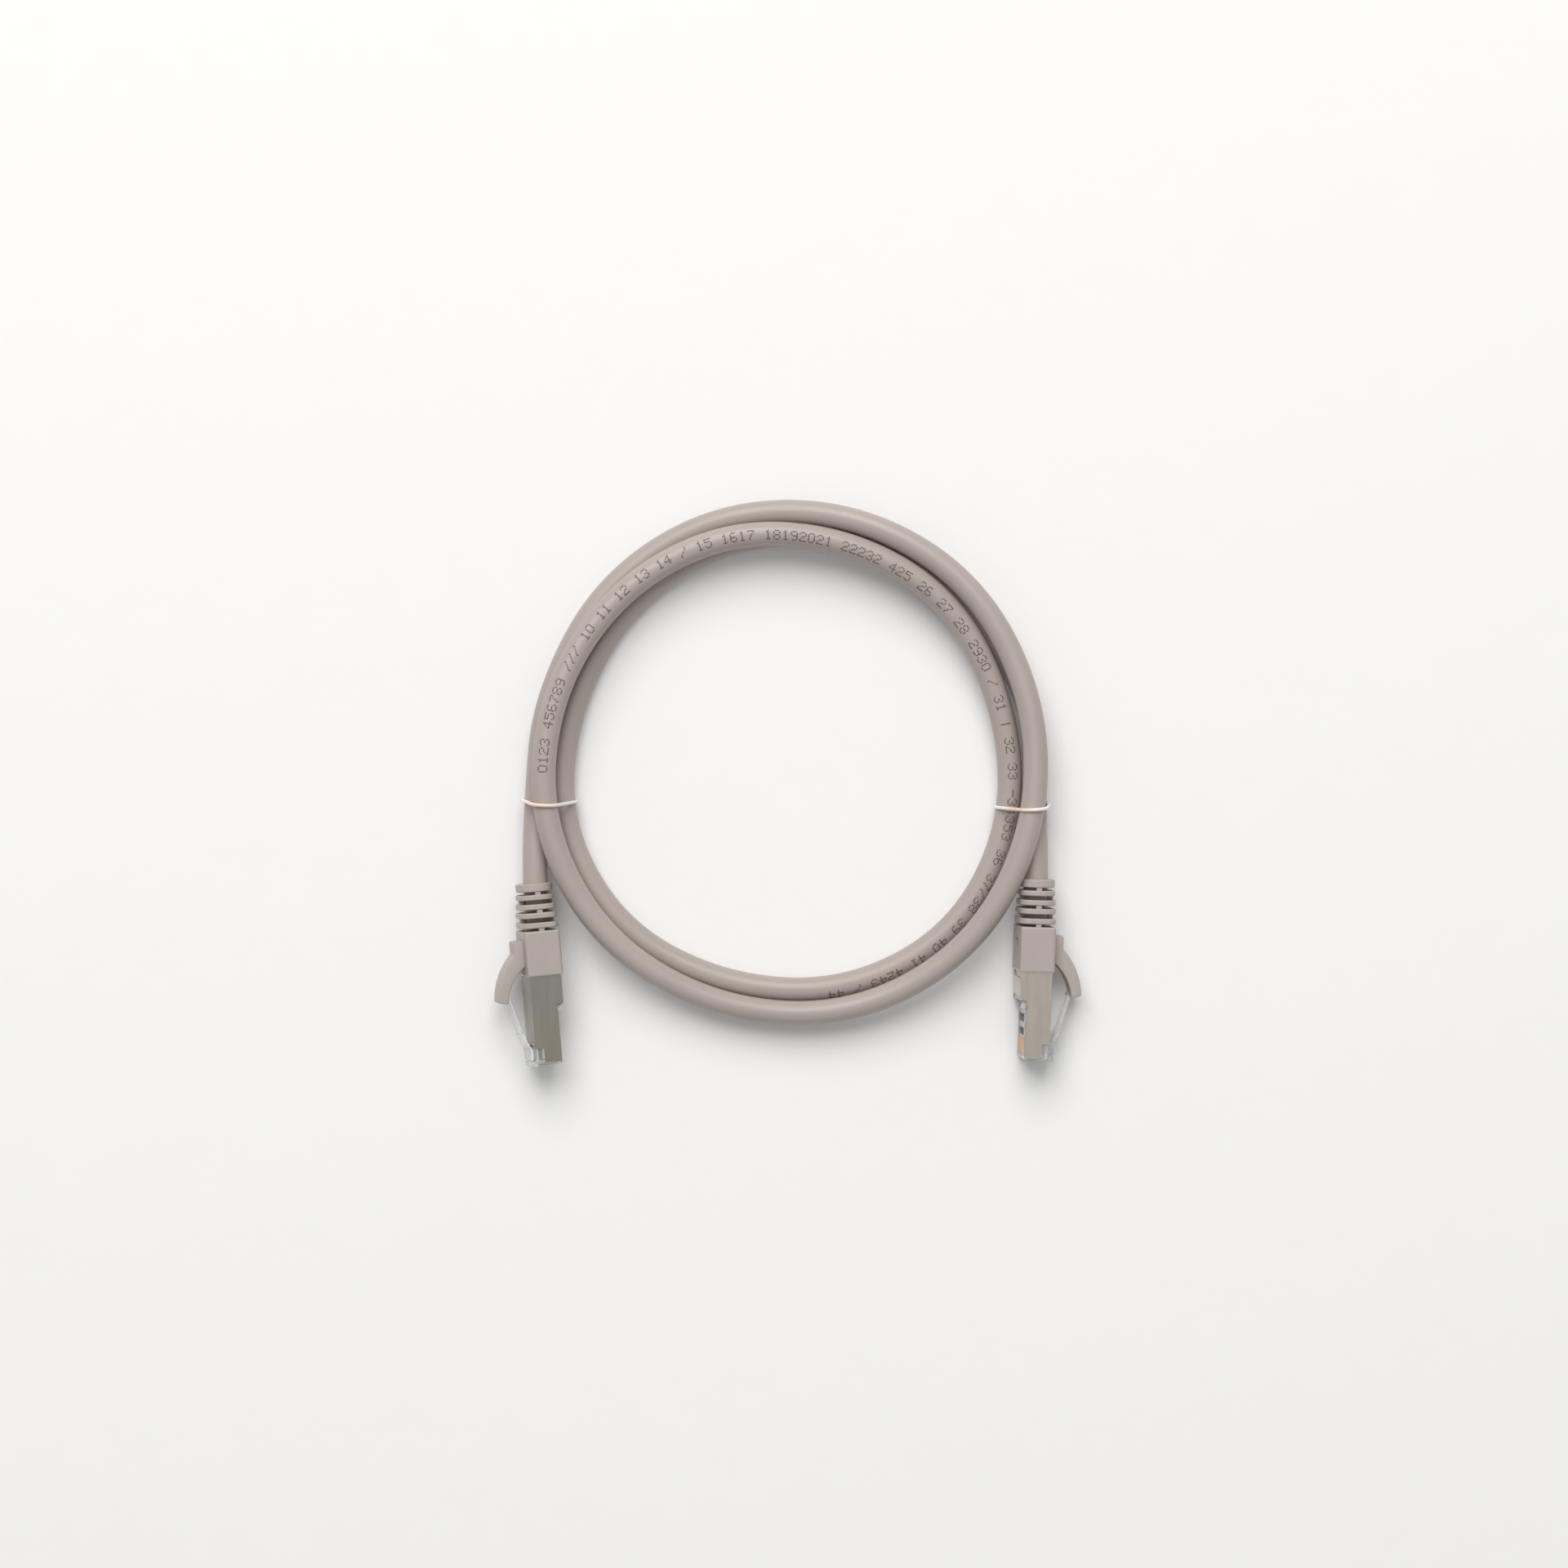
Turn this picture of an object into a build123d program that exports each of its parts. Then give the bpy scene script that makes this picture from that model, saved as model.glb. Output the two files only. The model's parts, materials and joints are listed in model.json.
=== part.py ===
from build123d import *
import math
import os

# Shielded network patch cable, about one metre, coiled two and a half turns and tied twice.
# Millimetres, +Z up, resting on z = 0. The origin is the middle of the whole object's footprint.

# cable
CABLE_OD = 6.2
JACKET_ID = 5.1
BRAID_ID = 4.6
PAIR_OD = 1.88
WIRE_OD = 0.88
CORE_OD = 0.48
PAIR_OFFSET = 1.344
# coil: (angle in degrees, radius, height) of every corner of the route, left plug first
COIL_CENTRE = (-0.2, 5.45)
COIL = (
    (165, 63.9, 5.73), (135, 65.2, 4.16), (105, 66.0, 4.94), (75, 65.9, 7.7), (45, 66.0, 9.92),
    (15, 65.1, 11.17), (-15, 65.7, 13.12), (-45, 67.3, 10.13), (-75, 67.2, 6.63), (-105, 65.6, 6.42),
    (-135, 65.7, 9.32), (-165, 64.8, 12.7), (165, 62.7, 12.32), (135, 61.6, 9.51), (105, 60.8, 9.6),
    (75, 58.9, 9.39), (45, 58.9, 8.25), (15, 57.7, 5.14), (-15, 60.1, 4.06), (-45, 62.0, 3.2),
    (-75, 61.1, 3.16), (-105, 59.7, 3.12), (-135, 61.2, 3.24), (-165, 60.7, 4.35), (165, 57.8, 3.27),
    (135, 58.5, 3.16), (105, 59.8, 3.12), (75, 60.8, 3.12), (45, 63.0, 3.12), (15, 65.4, 3.7),
)
# one more corner on each tail, between the coil and the plug: (x, y, z)
LEFT_TAIL = (-64.16, -3.94, 6.38)
RIGHT_TAIL = (63.04, -2.45, 6.15)
TANGENT_SHARE = 0.45
# plugs: nose position, lean and pitch of the axis, roll about it (degrees)
LEFT = dict(nose=(-61.7, -71.35), height=7.28, side=-1, lean=4.7, pitch=1.0, roll=14.5)
RIGHT = dict(nose=(62.67, -70.3), height=6.43, side=1, lean=2.0, pitch=1.4, roll=-5.1)
CABLE_DROP = -0.75
REAR_CORNER = -44.5
# plug body, x = 0 at the nose and negative toward the cable, +z the latch side
BODY_HALF_WIDTH = 5.64
BODY_TOP = 3.1
CONTACT_FACE = -3.3
BULGE_FACE = -4.6
BULGE_START = -15.1
BULGE_RAMP = 0.7
BODY_REAR = -23.2
NOSE_RADIUS = 0.5
NOSE_LIP = (-0.5, -0.02, -2.9, 0.9)
LATCH_ROOT = (-0.85, 0.5, 3.0, 4.7)
LATCH_POCKET = (-4.8, 3.25, 0.75)
# hollows inside the plug body: (rear, front, half width, low, high)
WIRE_CAVITY = (-24.2, -12.3, 4.3, -2.85, 1.5)
BAR_POCKET = (-12.4, -5.9, 4.35, -0.85, 1.05)
ROW_CHANNEL = (-6.0, -1.25, 4.1, -0.4, 0.62)
CRIMP_WINDOWS = ((-6.2, -8.0), (-9.5, -11.6))
WINDOW_HALF_WIDTH = 4.2
WINDOW_DEPTH = 0.9
SLOT = (-5.7, -0.9, 0.34, -0.2)
NOSE_SLOT_TOP = -2.3
# small eyes in front of the bulge, one at each narrow side: (x, z), radii, thickness, web
EYE_CENTRE = (-13.75, -3.85)
EYE_RADII = (0.58, 0.27)
EYE_THICKNESS = 0.6
EYE_WEB = (-14.1, -13.4, -3.6)
# shield
SHEET = 0.2
SHIELD_REAR = -23.5
SHIELD_FRONT = -0.5
SHIELD_TOP_FRONT = -5.4
SHIELD_NOTCH = (-4.1, 2.2)
SHIELD_STRAP = (-20.8, -16.3)
BITE_CENTRE = (-13.4, -3.75)
BITE_RADIUS = 1.0
SHIELD_EDGE_RADIUS = 0.15
BOOT_SEAT = 0.05
THROAT_RADII = (2.85, 2.62)
BARREL_RADII = (3.37, 3.13)
BARREL_REAR = -31.0
# contacts: blade, and the two teeth that bite into a wire
BLADE = (-5.55, -1.15, -3.28, -1.55)
BLADE_HALF = 0.27
BLADE_RADIUS = 0.5
TEETH = ((-4.9, -3.9), (-2.9, -1.9))
CONTACT_COUNT = 8
# load bar
BAR = (-12.2, -6.1, 4.25, -0.75, 0.95)
BAR_HOLE = 0.46
# wires inside the plug
JACKET_END = -26.25
BRAID_END = -24.9
PAIR_END = -28.0
SPREAD_END = -23.8
ROW_START = -15.4
SPREAD_SHARE = 0.3
ROW_END = -1.4
ROW_HEIGHT = 0.1
PITCH = 1.02
# boot
BOOT_FRONT = -22.8
BOX_REAR = -33.9
BOX_WIDTH = 13.45
BOX_THICK = 9.05
BOX_CORNER = 0.8
BOX_EDGE = 0.5
RING_EDGE = 0.3
RINGS = (
    # front, rear, thickness, width, corner radius
    (-34.6, -36.0, 9.3, 13.0, 2.5),
    (-37.1, -38.5, 9.25, 12.5, 2.9),
    (-39.3, -40.65, 9.2, 11.9, 3.3),
    (-41.7, -43.05, 9.1, 11.2, 3.8),
    (-43.8, -45.85, 9.0, 10.5, 4.3),
)
WEB = 1.35
WEB_END = 0.3
PLUG_POCKET = (-21.8, -24.0, 5.95, 0.12)
CABLE_BORE = 3.5
LOCK_WINDOW = (-27.1, -30.7, -2.2, 2.2, -6.0, -4.0)
# latch guard and its root on the boot: outline points are (x, z)
ARM_WIDTH = 6.1
GUARD_HINGE = (-27.3, 5.1)
KNUCKLE = 1.2
ROOT_REAR = -31.6
ROOT_TOP = 6.3
ROOT_CORNER = 0.6
GUARD_OUTER = ((-27.6, 6.26), (-22.9, 9.85), (-16.6, 11.35))
GUARD_INNER = ((-15.9, 8.83), (-21.2, 7.15), (-25.0, 4.5))
GUARD_HEEL = ((-25.0, 4.5), (-26.3, 4.45), (-27.3, 5.1), (-27.6, 6.26))
GUARD_EDGE = 0.3
# groove in the guard's tip where the latch's lever lies: (rear, front, half width, low, high)
LEVER_GROOVE = (-19.2, -14.0, 1.95, 5.0, 9.55)
# latch: outline points are (x, z)
LATCH_HINGE = (-1.55, 4.05)
LATCH_PIN = 0.6
LATCH_BLADE = (
    (-1.55, 3.45), (-3.9, 3.45), (-4.4, 4.05), (-7.9, 5.45), (-17.0, 8.05),
    (-17.35, 8.6), (-17.0, 9.0), (-7.6, 6.45), (-4.0, 4.75), (-1.55, 4.65),
)
LATCH_WIDTH = 6.0
LEVER_WIDTH = 3.25
LEVER_START = -8.0
GAP = 0.1
# ties: place along y from the coil's centre, lean of the loop and its turn seen from above
BAND_OD = 0.9
BAND_CLEARANCE = 0.07
BAND_RING = 60.5
BAND_HEIGHT = 7.0
BAND_REACH = 15.0
BANDS = dict(
    left_band=dict(side=-1, y=-10.2, tilt=6.5, yaw=-2.9),
    right_band=dict(side=1, y=-11.45, tilt=6.0, yaw=3.5),
)


def block(x0, x1, y0, y1, z0, z1):
    """Box between two corners."""
    size = (abs(x1 - x0), abs(y1 - y0), abs(z1 - z0))
    return Pos((x0 + x1) / 2, (y0 + y1) / 2, (z0 + z1) / 2) * Box(*size)


def rod(x0, x1, radius, y=0.0, z=CABLE_DROP):
    """Round bar along x."""
    return Pos((x0 + x1) / 2, y, z) * Rot(0, 90, 0) * Cylinder(radius, abs(x1 - x0))


def side_profile(points, width):
    """Outline given as (x, z) made `width` wide about y = 0."""
    face = make_face(Polyline(*[(x, 0, z) for x, z in points], close=True))
    return extrude(face, amount=width / 2, dir=(0, 1, 0), both=True)


def pin(centre, radius, width):
    """Round bar along y at (x, z)."""
    return Pos(centre[0], 0, centre[1]) * Rot(90, 0, 0) * Cylinder(radius, width)


def slab(x0, x1, thick, width, corner):
    """Rounded rectangle across the cable axis, between two stations."""
    section = Plane(origin=(x0, 0, CABLE_DROP), x_dir=(0, 1, 0), z_dir=(-1, 0, 0)) * RectangleRounded(
        width, thick, corner
    )
    return extrude(section, amount=abs(x1 - x0))


# ---------------------------------------------------------------- plug placement
def plug_plane(nose, height, side, lean, pitch, roll):
    """Frame of a plug: x along the plug toward its nose, z toward its latch."""
    lean, pitch, roll = (math.radians(v) for v in (lean, pitch, roll))
    axis = Vector(
        -side * math.sin(lean) * math.cos(pitch),
        -math.cos(lean) * math.cos(pitch),
        -math.sin(pitch),
    )
    out = Vector(0, 0, 1).cross(axis).normalized() * -side
    if out.X * side < 0:
        out = out * -1
    up = axis.cross(out).normalized()
    if up.Z < 0:
        up = up * -1
    latch = out * math.cos(roll) + up * math.sin(roll)
    return Plane(origin=(nose[0], nose[1], height), x_dir=axis, z_dir=latch)


left_plane = plug_plane(**LEFT)
right_plane = plug_plane(**RIGHT)


# ---------------------------------------------------------------- cable route
def coil_point(angle, radius, height):
    """Corner of the coil in the object's frame."""
    return Vector(
        COIL_CENTRE[0] + radius * math.cos(math.radians(angle)),
        COIL_CENTRE[1] + radius * math.sin(math.radians(angle)),
        height,
    )


def at(plane, x, y, z):
    """Point given in a plug's frame."""
    return plane.from_local_coords(Vector(x, y, z))


def route(end):
    """Corners of the cable's axis from one plug to the other, starting and ending at `end`."""
    start = [at(left_plane, end, 0, CABLE_DROP), at(left_plane, REAR_CORNER, 0, CABLE_DROP)]
    finish = [at(right_plane, REAR_CORNER, 0, CABLE_DROP), at(right_plane, end, 0, CABLE_DROP)]
    coil = [coil_point(*corner) for corner in COIL]
    return start + [Vector(*LEFT_TAIL)] + coil + [Vector(*RIGHT_TAIL)] + finish


def corner_radius(before, corner, after, share):
    """Arc that takes up the given share of the shorter run on each side of its corner."""
    first = corner - before
    second = after - corner
    half = math.radians(first.get_angle(second)) / 2
    return share * min(first.length, second.length) / math.tan(half)


def radii_of(points, share=TANGENT_SHARE):
    """Radius of every corner of a route."""
    return [corner_radius(*trio, share) for trio in zip(points, points[1:], points[2:])]


def turned(vector, axis, degrees):
    """Vector turned about a unit axis."""
    angle = math.radians(degrees)
    return (
        vector * math.cos(angle)
        + axis.cross(vector) * math.sin(angle)
        + axis * (axis.dot(vector) * (1 - math.cos(angle)))
    )


def swept(points, radii, outer, inner=0.0):
    """Round bar or tube along a route of straight runs and arcs."""
    path = FilletPolyline(*points, radius=radii)
    section = Circle(outer)
    if inner:
        section = section - Circle(inner)
    return sweep(Plane(origin=path @ 0, z_dir=path % 0) * section, path=path)


def carried(points, first, twist):
    """Frames carried along the route, one per run, with an even twist on top."""
    runs = [(b - a).normalized() for a, b in zip(points, points[1:])]
    across = first
    frames = [(runs[0], across)]
    for before, after in zip(runs, runs[1:]):
        axis = before.cross(after).normalized()
        across = turned(across, axis, before.get_angle(after))
        across = turned(across, after, twist / (len(runs) - 1))
        across = (across - after * after.dot(across)).normalized()
        frames.append((after, across))
    return frames


def beside(points, radii, frames, offset):
    """Route `offset` away from another, with its arcs about the same centres."""
    moved = []
    arcs = []
    for index, point in enumerate(points):
        run, across = frames[min(index, len(frames) - 1)]
        if 0 < index < len(points) - 1:
            run, across = frames[index - 1]
        shift = across * offset[0] + run.cross(across) * offset[1]
        if index in (0, len(points) - 1):
            moved.append(point + shift)
            continue
        after = frames[index][0]
        axis = run.cross(after).normalized()
        inward = shift.dot(axis.cross(run))
        middle = (axis.cross(run) + axis.cross(after)).normalized()
        half = math.radians(run.get_angle(after)) / 2
        moved.append(point + axis * axis.dot(shift) + middle * (inward / math.cos(half)))
        arcs.append(radii[index - 1] - inward)
    return moved, arcs


cable_points = route(JACKET_END)
cable_radii = radii_of(cable_points)
pair_points = route(PAIR_END)
pair_radii = radii_of(pair_points)
first_across = left_plane.y_dir * -1
plain = carried(pair_points, first_across, 0.0)
last_run, last_across = plain[-1]
wanted = right_plane.y_dir * -1
residual = math.degrees(
    math.atan2(last_run.dot(last_across.cross(wanted)), last_across.dot(wanted))
)
frames = carried(pair_points, first_across, residual)

HALF_WIRE = WIRE_OD / 2
WIRE_PLACES = {
    # pin: offset across the cable, (first, second) direction
    1: (PAIR_OFFSET + HALF_WIRE, 0.0),
    2: (PAIR_OFFSET - HALF_WIRE, 0.0),
    3: (HALF_WIRE, -PAIR_OFFSET),
    4: (HALF_WIRE, PAIR_OFFSET),
    5: (-HALF_WIRE, PAIR_OFFSET),
    6: (-HALF_WIRE, -PAIR_OFFSET),
    7: (-PAIR_OFFSET + HALF_WIRE, 0.0),
    8: (-PAIR_OFFSET - HALF_WIRE, 0.0),
}
PAIR_PLACES = ((PAIR_OFFSET, 0.0), (0.0, PAIR_OFFSET), (-PAIR_OFFSET, 0.0), (0.0, -PAIR_OFFSET))


def wire_end(plane, turn, place, row_y, outer, inner=0.0):
    """One wire inside a plug, from the end of its wrapped pair to its slot."""
    across = -place[0]
    up = CABLE_DROP + turn * place[1]
    points = [
        at(plane, ROW_END, row_y, ROW_HEIGHT),
        at(plane, ROW_START, row_y, ROW_HEIGHT),
        at(plane, SPREAD_END, across, up),
        at(plane, PAIR_END, across, up),
    ]
    return swept(points, radii_of(points, SPREAD_SHARE), outer, inner)


def both_ends(place, row_y, outer, inner=0.0):
    """The same wire in the left plug and in the right one, where its pair arrives turned over."""
    return [
        wire_end(left_plane, 1, place, row_y, outer, inner),
        wire_end(right_plane, -1, place, row_y, outer, inner),
    ]


# ---------------------------------------------------------------- plug pieces
def hollow(rear, front, half, low, high):
    """Box about y = 0, from rear to front and from low to high."""
    return block(rear, front, -half, half, low, high)


def contact_places():
    """y of every contact."""
    return [(index - (CONTACT_COUNT - 1) / 2) * PITCH for index in range(CONTACT_COUNT)]


def make_housing():
    body = hollow(BODY_REAR, 0, BODY_HALF_WIDTH, CONTACT_FACE, BODY_TOP)
    body = fillet(body.edges().filter_by(Axis.Y).group_by(Axis.X)[-1], NOSE_RADIUS)
    body += hollow(BODY_REAR, BULGE_START, BODY_HALF_WIDTH, BULGE_FACE, 0)
    ramp_end = BULGE_START + BULGE_RAMP
    ramp = ((BULGE_START, BULGE_FACE), (ramp_end, CONTACT_FACE), (BULGE_START, CONTACT_FACE))
    body += side_profile(ramp, 2 * BODY_HALF_WIDTH)
    rear, front, low = EYE_WEB
    for sign in (-1, 1):
        middle = sign * (BODY_HALF_WIDTH - EYE_THICKNESS / 2)
        body += Pos(0, middle, 0) * pin(EYE_CENTRE, EYE_RADII[0], EYE_THICKNESS)
        body += Pos(0, middle, 0) * block(
            rear, front, -EYE_THICKNESS / 2, EYE_THICKNESS / 2, low, CONTACT_FACE + 0.2
        )
    body -= pin(EYE_CENTRE, EYE_RADII[1], 3 * BODY_HALF_WIDTH)
    # nose lip standing as proud as the sheet on both narrow sides
    rear, front, low, high = NOSE_LIP
    for sign in (-1, 1):
        body += block(rear, front, sign * BODY_HALF_WIDTH, sign * (BODY_HALF_WIDTH + SHEET), low, high)
    # root that the latch hangs from, and the pocket that it swings into
    rear, front, half, high = LATCH_ROOT
    body += hollow(rear, front, half, BODY_TOP - NOSE_RADIUS, high)
    pocket_rear, half, depth = LATCH_POCKET
    body -= hollow(rear, pocket_rear, half, BODY_TOP - depth, BODY_TOP + 1)
    # wire cavity, load bar pocket and the channel for the row of wires
    for cavity in (WIRE_CAVITY, BAR_POCKET, ROW_CHANNEL):
        body -= hollow(*cavity)
    # contact slots, open at the face and at the nose
    below = CONTACT_FACE - 1
    rear, front, half, high = SLOT
    for y in contact_places():
        body -= block(rear, front, y - half, y + half, below, high)
        body -= block(front, 1, y - half, y + half, below, NOSE_SLOT_TOP)
    for front, rear in CRIMP_WINDOWS:
        body -= hollow(front, rear, WINDOW_HALF_WIDTH, below, CONTACT_FACE + WINDOW_DEPTH)
    return body


def make_latch():
    low, high = BODY_TOP, 3 * BODY_TOP
    latch = side_profile(LATCH_BLADE, LATCH_WIDTH) + pin(LATCH_HINGE, LATCH_PIN, LATCH_WIDTH)
    root = hollow(LEVER_START, 0, LATCH_WIDTH / 2, low, high)
    lever = hollow(BULGE_START + LEVER_START, LEVER_START, LEVER_WIDTH / 2, low, high)
    return latch & (root + lever)


def make_shield():
    outer = BODY_HALF_WIDTH + SHEET
    top = BODY_TOP + SHEET
    bottom = BULGE_FACE - SHEET
    notch_rear, notch_depth = SHIELD_NOTCH
    shield = Part()
    for sign in (-1, 1):
        inner = sign * BODY_HALF_WIDTH
        face = sign * outer
        plate = block(SHIELD_REAR, SHIELD_FRONT, inner, face, CONTACT_FACE + 0.1, top)
        plate += block(SHIELD_REAR, BULGE_START, inner, face, bottom, 0)
        plate -= block(notch_rear, 1, inner * 0.9, face * 1.1, top - notch_depth, top + 1)
        # the part inside the boot sits a little lower than the ground face
        seat = face - sign * BOOT_SEAT
        plate -= block(SHIELD_REAR - 1, BOOT_FRONT + 0.1, seat, face * 1.1, bottom - 1, top + 1)
        shield += plate
    shield += hollow(SHIELD_REAR, SHIELD_TOP_FRONT, outer - BOOT_SEAT, BODY_TOP, top)
    shield += hollow(BOOT_FRONT + 0.1, SHIELD_TOP_FRONT, outer, BODY_TOP, top)
    shield += hollow(*SHIELD_STRAP, outer, bottom, BULGE_FACE)
    # rear plate and the barrel crimped over the braid and the jacket
    throat_end = JACKET_END + 0.3
    shield += hollow(SHIELD_REAR, SHIELD_REAR + SHEET, outer - BOOT_SEAT, bottom, top)
    shield += rod(SHIELD_REAR, throat_end, THROAT_RADII[0])
    shield += rod(throat_end, BARREL_REAR, BARREL_RADII[0])
    shield -= rod(0, JACKET_END + 0.1, THROAT_RADII[1])
    shield -= rod(JACKET_END + 0.1, BARREL_REAR - 1, BARREL_RADII[1])
    shield -= pin(BITE_CENTRE, BITE_RADIUS, 3 * BODY_HALF_WIDTH)
    corners = [
        edge for edge in shield.edges().filter_by(Axis.X)
        if edge.length > 10 and math.dist((abs(edge.center().Y), edge.center().Z), (outer, top)) < 0.01
    ]
    return fillet(corners, SHIELD_EDGE_RADIUS)


def make_contacts():
    rear, front, low, high = BLADE
    blades = []
    for y in contact_places():
        blade = block(rear, front, y - BLADE_HALF, y + BLADE_HALF, low, high)
        blade = fillet(blade.edges().filter_by(Axis.Y).group_by(Axis.Z)[0], BLADE_RADIUS)
        for tooth_rear, tooth_front in TEETH:
            tip = ROW_HEIGHT - CORE_OD / 2
            blade += block(tooth_rear, tooth_front, y - BLADE_HALF, y + BLADE_HALF, high - 0.05, tip)
        blades.append(blade)
    return Compound(children=blades)


def make_load_bar():
    bar = hollow(*BAR)
    for y in contact_places():
        bar -= rod(BAR[0] - 1, BAR[1] + 1, BAR_HOLE, y, ROW_HEIGHT)
    return bar


def make_boot(plane, points, radii):
    boot = slab(BOOT_FRONT, BOX_REAR, BOX_THICK, BOX_WIDTH, BOX_CORNER)
    boot = fillet(boot.edges().group_by(Axis.X)[0], BOX_EDGE)
    front = BOX_REAR
    for index, (ring_front, ring_rear, thick, width, corner) in enumerate(RINGS):
        ring = slab(ring_front, ring_rear, thick, width, corner)
        boot += fillet(ring.edges().group_by(Axis.X)[0] + ring.edges().group_by(Axis.X)[-1], RING_EDGE)
        # two webs to the piece in front, turned a quarter from one gap to the next
        spans = (WEB / 2, thick / 2 - WEB_END)
        if index % 2 == 0:
            spans = (width / 2 - WEB_END, WEB / 2)
        bridge = block(front + 0.2, ring_front - 0.2, -spans[0], spans[0], -spans[1], spans[1])
        boot += Pos(0, 0, CABLE_DROP) * bridge
        front = ring_rear
    # root of the latch guard, hollowed round the guard's knuckle
    top = CABLE_DROP + BOX_THICK / 2
    root = hollow(ROOT_REAR, GUARD_HINGE[0], ARM_WIDTH / 2, top - BOX_EDGE, ROOT_TOP)
    root = fillet(root.edges().filter_by(Axis.Y).group_by(Axis.Z)[-1].sort_by(Axis.X)[0], ROOT_CORNER)
    root -= pin(GUARD_HINGE, KNUCKLE + GAP, 2 * ARM_WIDTH)
    boot += root
    boot -= block(*LOCK_WINDOW)
    # room for the plug's rear end, the crimped barrel and the cable
    pocket_front, pocket_rear, half, room = PLUG_POCKET
    boot -= hollow(pocket_front, pocket_rear, half, BULGE_FACE - SHEET - room, BODY_TOP + SHEET + room)
    boot -= rod(pocket_front, BARREL_REAR - 0.3, CABLE_BORE)
    placed = plane * boot
    return placed - swept(points, radii, CABLE_OD / 2 + 0.01)


def make_guard():
    outline = [(x, 0, z) for x, z in GUARD_OUTER]
    inline = [(x, 0, z) for x, z in GUARD_INNER]
    heel = [(x, 0, z) for x, z in GUARD_HEEL]
    rim = ThreePointArc(*outline) + Line(outline[-1], inline[0])
    rim += ThreePointArc(*inline) + Polyline(*heel)
    arm = extrude(make_face(rim), amount=ARM_WIDTH / 2, dir=(0, 1, 0), both=True)
    arm += pin(GUARD_HINGE, KNUCKLE, ARM_WIDTH)
    tip = arm.edges().filter_by(Axis.Y).group_by(Axis.X)[-1]
    return fillet(tip, GUARD_EDGE) - hollow(*LEVER_GROOVE)


# ---------------------------------------------------------------- tie bands
def strand_centres(plane, points, radii):
    """Where the cable's axis passes through a tie's plane, near the tie."""
    path = FilletPolyline(*points, radius=radii)
    found = []
    steps = 6000
    before = None
    for index in range(steps + 1):
        local = plane.to_local_coords(path.position_at(index / steps))
        if before and before.Z * local.Z <= 0 and abs(local.X) < BAND_REACH:
            share = abs(before.Z) / (abs(before.Z) + abs(local.Z))
            found.append(before + (local - before) * share)
        before = local
    return [(p.X, p.Y) for p in found]


def make_band(side, y, tilt, yaw):
    """Elastic loop drawn round the three strands that pass a tie."""
    middle = Vector(COIL_CENTRE[0] + side * BAND_RING, COIL_CENTRE[1] + y, BAND_HEIGHT)
    tilt, yaw = (math.radians(angle) for angle in (tilt, yaw))
    across = Vector(math.cos(yaw), math.sin(yaw), 0)
    normal = Vector(math.sin(yaw) * math.cos(tilt), -math.cos(yaw) * math.cos(tilt), -math.sin(tilt))
    plane = Plane(origin=middle, x_dir=across, z_dir=normal)
    spots = strand_centres(plane, cable_points, cable_radii)
    triangle = make_face(Polyline(*spots, close=True))
    reach = CABLE_OD / 2 + BAND_OD / 2 + BAND_CLEARANCE
    path = plane * offset(triangle, reach, kind=Kind.ARC).face().outer_wire()
    return sweep(Plane(origin=path @ 0, z_dir=path % 0) * Circle(BAND_OD / 2), path=path), spots


def save(shape, name):
    shape.label = name
    export_step(shape, "parts/%s.step" % name)


os.makedirs("parts", exist_ok=True)

jacket = swept(cable_points, cable_radii, CABLE_OD / 2, JACKET_ID / 2)
save(jacket, "cable_jacket")
length = FilletPolyline(*cable_points, radius=cable_radii).length
section_area = math.pi * (CABLE_OD**2 - JACKET_ID**2) / 4
print("cable length", round(length, 2), "volume ratio", round(jacket.volume / (section_area * length), 5))
print("smallest arc", round(min(cable_radii), 1), "twist", round(residual, 1), "corners", len(cable_radii))

braid_points = route(BRAID_END)
save(swept(braid_points, radii_of(braid_points), JACKET_ID / 2, BRAID_ID / 2), "cable_braid")

pairs = []
for place in PAIR_PLACES:
    points, arcs = beside(pair_points, pair_radii, frames, place)
    pairs.append(swept(points, arcs, PAIR_OD / 2))
save(Compound(children=pairs), "foiled_pairs")

cores = []
for number, place in WIRE_PLACES.items():
    row_y = contact_places()[number - 1]
    ends = both_ends(place, row_y, WIRE_OD / 2, CORE_OD / 2)
    save(Compound(children=ends), "conductor_%d" % number)
    cores += both_ends(place, row_y, CORE_OD / 2)
save(Compound(children=cores), "copper_cores")

for name, tie in BANDS.items():
    band, spots = make_band(**tie)
    print(name, [(round(a, 2), round(b, 2)) for a, b in spots])
    save(band, name)

housing = make_housing()
latch = make_latch()
shield = make_shield()
contacts = make_contacts()
load_bar = make_load_bar()
guard = make_guard()
for side, plane, ends in (
    ("left", left_plane, (cable_points[:3], cable_radii[:1])),
    ("right", right_plane, (cable_points[:-4:-1], cable_radii[-1:])),
):
    save(plane * housing, side + "_housing")
    save(plane * latch, side + "_latch")
    save(plane * shield, side + "_shield")
    save(plane * contacts, side + "_contacts")
    save(plane * load_bar, side + "_load_bar")
    save(plane * guard, side + "_latch_guard")
    save(make_boot(plane, *ends), side + "_boot")
    print(side, "x dir", plane.x_dir, "y dir", plane.y_dir, "z dir", plane.z_dir)
    for label, spot in (("latch hinge", LATCH_HINGE), ("guard hinge", GUARD_HINGE)):
        place = at(plane, spot[0], 0, spot[1])
        print(side, label, round(place.X, 3), round(place.Y, 3), round(place.Z, 3))
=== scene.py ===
"""Shielded network patch cable, coiled and tied, seen from straight above."""
import bisect
import json
import math

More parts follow.
